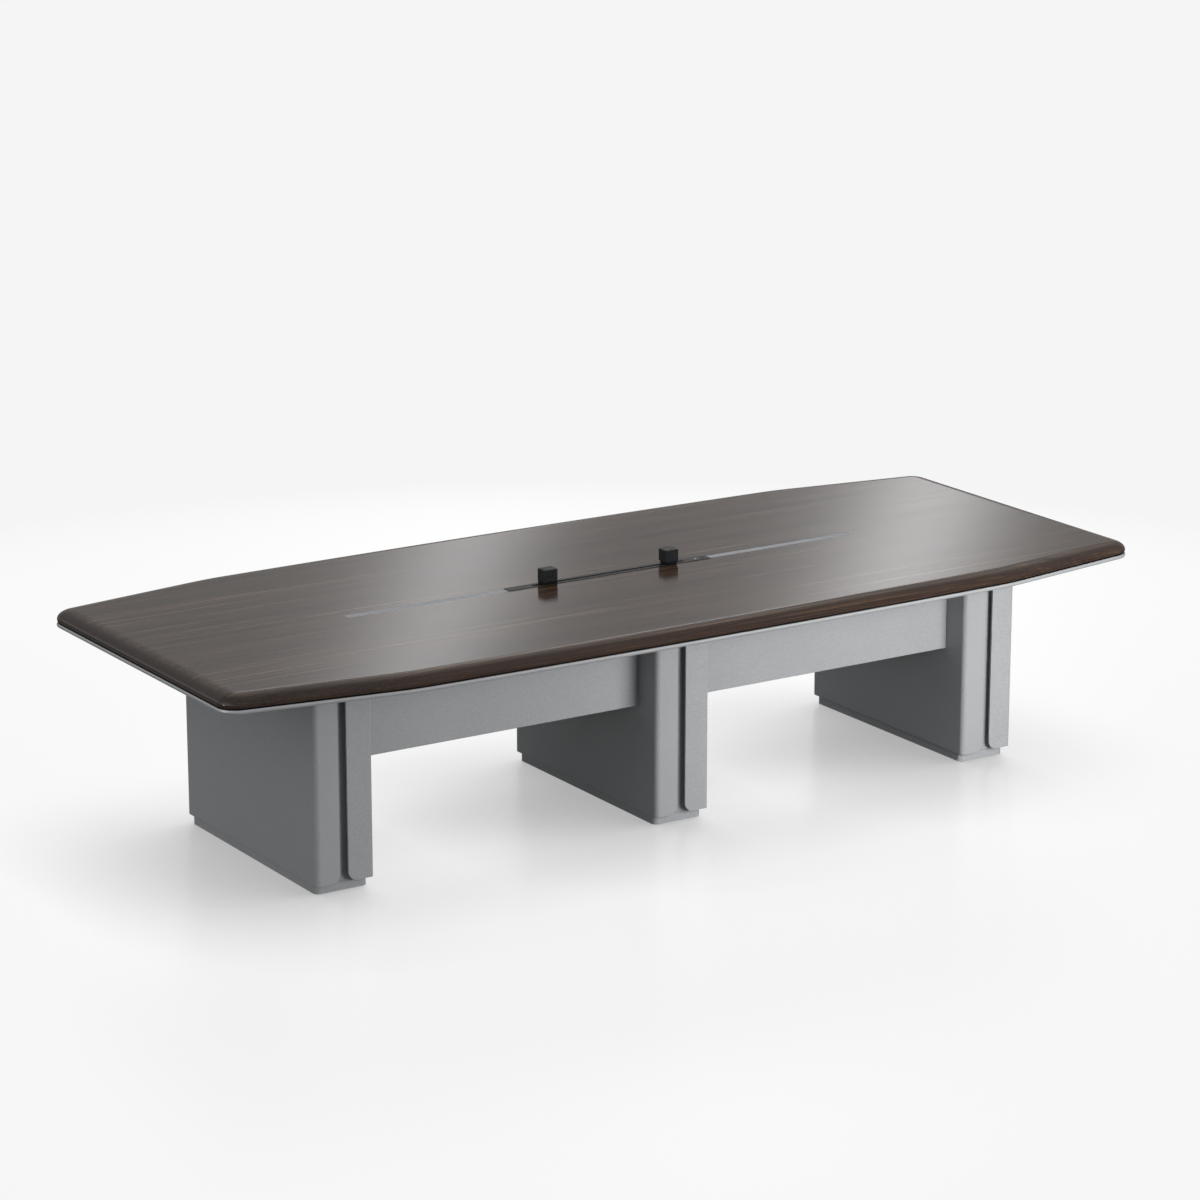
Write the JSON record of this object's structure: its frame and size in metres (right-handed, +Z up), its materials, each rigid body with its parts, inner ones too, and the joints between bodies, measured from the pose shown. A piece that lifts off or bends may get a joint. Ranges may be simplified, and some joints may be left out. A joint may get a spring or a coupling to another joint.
{
  "type": "conference table",
  "caption": "Boat-shaped wood conference table with a metal edge bead on slab pedestals joined by aprons, with a power track and sliding twist adapters in the top.",
  "frame": {"origin": "on the floor, under the middle of the tabletop", "axes": "+X along the table to the end with the switch, +Y from the front long side to the back long side, +Z up"},
  "size_m": [3.51, 1.44, 0.8015],
  "materials": {
    "veneer": "dark stained open-grain veneer under satin lacquer, grain along the table",
    "bead_metal": "satin silver half-round edge bead",
    "board_black": "black-faced panel board",
    "pedestal_grey": "board with a fine-grained neutral grey lacquer",
    "steel": "plain sheet steel",
    "foot_black": "black moulded plastic",
    "inlay_silver": "brushed satin silver strip",
    "track_graphite": "dark anodised extrusion",
    "liner_grey": "grey insulating liner",
    "copper": "bare conductor",
    "adapter_black": "black moulded plastic with a fine texture",
    "socket_black": "glossy black socket face",
    "lens_white": "white indicator lens"
  },
  "bodies": {
    "table": {"wood_top": "veneer", "front_edge_trim": "bead_metal", "back_edge_trim": "bead_metal", "left_edge_trim": "bead_metal", "right_edge_trim": "bead_metal", "sub_top": "board_black", "left_inlay_strip": "inlay_silver", "right_inlay_strip": "inlay_silver", "track_body": "track_graphite", "track_feed_housing": "track_graphite", "track_switch_housing": "track_graphite", "front_track_liner": "liner_grey", "back_track_liner": "liner_grey", "front_busbar": "copper", "back_busbar": "copper", "feed_inlet": "foot_black", "indicator_lens": "lens_white", "left_pedestal_plinth": "pedestal_grey", "left_pedestal_core": "pedestal_grey", "left_pedestal_rounded_wrap": "pedestal_grey", "left_pedestal_lapped_wrap": "pedestal_grey", "left_pedestal_head_plate": "steel", "middle_pedestal_plinth": "pedestal_grey", "middle_pedestal_core": "pedestal_grey", "middle_pedestal_rounded_wrap": "pedestal_grey", "middle_pedestal_lapped_wrap": "pedestal_grey", "middle_pedestal_head_plate": "steel", "right_pedestal_plinth": "pedestal_grey", "right_pedestal_core": "pedestal_grey", "right_pedestal_rounded_wrap": "pedestal_grey", "right_pedestal_lapped_wrap": "pedestal_grey", "right_pedestal_head_plate": "steel", "left_bay_front_apron": "pedestal_grey", "left_bay_back_apron": "pedestal_grey", "left_bay_cable_tray": "steel", "right_bay_front_apron": "pedestal_grey", "right_bay_back_apron": "pedestal_grey", "right_bay_cable_tray": "steel"},
    "left_foot_1": {"left_pedestal_foot_1": "foot_black"},
    "left_foot_2": {"left_pedestal_foot_2": "foot_black"},
    "left_foot_3": {"left_pedestal_foot_3": "foot_black"},
    "left_foot_4": {"left_pedestal_foot_4": "foot_black"},
    "middle_foot_1": {"middle_pedestal_foot_1": "foot_black"},
    "middle_foot_2": {"middle_pedestal_foot_2": "foot_black"},
    "middle_foot_3": {"middle_pedestal_foot_3": "foot_black"},
    "middle_foot_4": {"middle_pedestal_foot_4": "foot_black"},
    "right_foot_1": {"right_pedestal_foot_1": "foot_black"},
    "right_foot_2": {"right_pedestal_foot_2": "foot_black"},
    "right_foot_3": {"right_pedestal_foot_3": "foot_black"},
    "right_foot_4": {"right_pedestal_foot_4": "foot_black"},
    "left_slider": {"left_adapter_base": "adapter_black"},
    "left_cube": {"left_adapter_shell": "adapter_black", "left_adapter_socket": "socket_black", "left_adapter_spindle": "copper"},
    "right_slider": {"right_adapter_base": "adapter_black"},
    "right_cube": {"right_adapter_shell": "adapter_black", "right_adapter_socket": "socket_black", "right_adapter_spindle": "copper"},
    "switch": {"switch_button": "adapter_black"}
  },
  "joints": [
    {"name": "left_foot_1_level", "type": "slide", "parent": "table", "child": "left_foot_1", "axis": [0, 0, -1], "range_m": [0, 0.012]},
    {"name": "left_foot_2_level", "type": "slide", "parent": "table", "child": "left_foot_2", "axis": [0, 0, -1], "range_m": [0, 0.012]},
    {"name": "left_foot_3_level", "type": "slide", "parent": "table", "child": "left_foot_3", "axis": [0, 0, -1], "range_m": [0, 0.012]},
    {"name": "left_foot_4_level", "type": "slide", "parent": "table", "child": "left_foot_4", "axis": [0, 0, -1], "range_m": [0, 0.012]},
    {"name": "middle_foot_1_level", "type": "slide", "parent": "table", "child": "middle_foot_1", "axis": [0, 0, -1], "range_m": [0, 0.012]},
    {"name": "middle_foot_2_level", "type": "slide", "parent": "table", "child": "middle_foot_2", "axis": [0, 0, -1], "range_m": [0, 0.012]},
    {"name": "middle_foot_3_level", "type": "slide", "parent": "table", "child": "middle_foot_3", "axis": [0, 0, -1], "range_m": [0, 0.012]},
    {"name": "middle_foot_4_level", "type": "slide", "parent": "table", "child": "middle_foot_4", "axis": [0, 0, -1], "range_m": [0, 0.012]},
    {"name": "right_foot_1_level", "type": "slide", "parent": "table", "child": "right_foot_1", "axis": [0, 0, -1], "range_m": [0, 0.012]},
    {"name": "right_foot_2_level", "type": "slide", "parent": "table", "child": "right_foot_2", "axis": [0, 0, -1], "range_m": [0, 0.012]},
    {"name": "right_foot_3_level", "type": "slide", "parent": "table", "child": "right_foot_3", "axis": [0, 0, -1], "range_m": [0, 0.012]},
    {"name": "right_foot_4_level", "type": "slide", "parent": "table", "child": "right_foot_4", "axis": [0, 0, -1], "range_m": [0, 0.012]},
    {"name": "left_adapter_slide", "type": "slide", "parent": "table", "child": "left_slider", "axis": [1, 0, 0], "range_m": [-0.035, 0.2]},
    {"name": "left_adapter_twist", "type": "hinge", "parent": "left_slider", "child": "left_cube", "pos_m": [-0.24, 0, 0.7612], "axis": [0, 0, 1], "range_deg": [0, 90]},
    {"name": "right_adapter_slide", "type": "slide", "parent": "table", "child": "right_slider", "axis": [1, 0, 0], "range_m": [-0.2, 0.035]},
    {"name": "right_adapter_twist", "type": "hinge", "parent": "right_slider", "child": "right_cube", "pos_m": [0.24, 0, 0.7612], "axis": [0, 0, 1], "range_deg": [0, 90]},
    {"name": "switch_press", "type": "slide", "parent": "table", "child": "switch", "axis": [0, 0, -1], "range_m": [0, 0.002], "stiffness_N_per_m": 400}
  ]
}
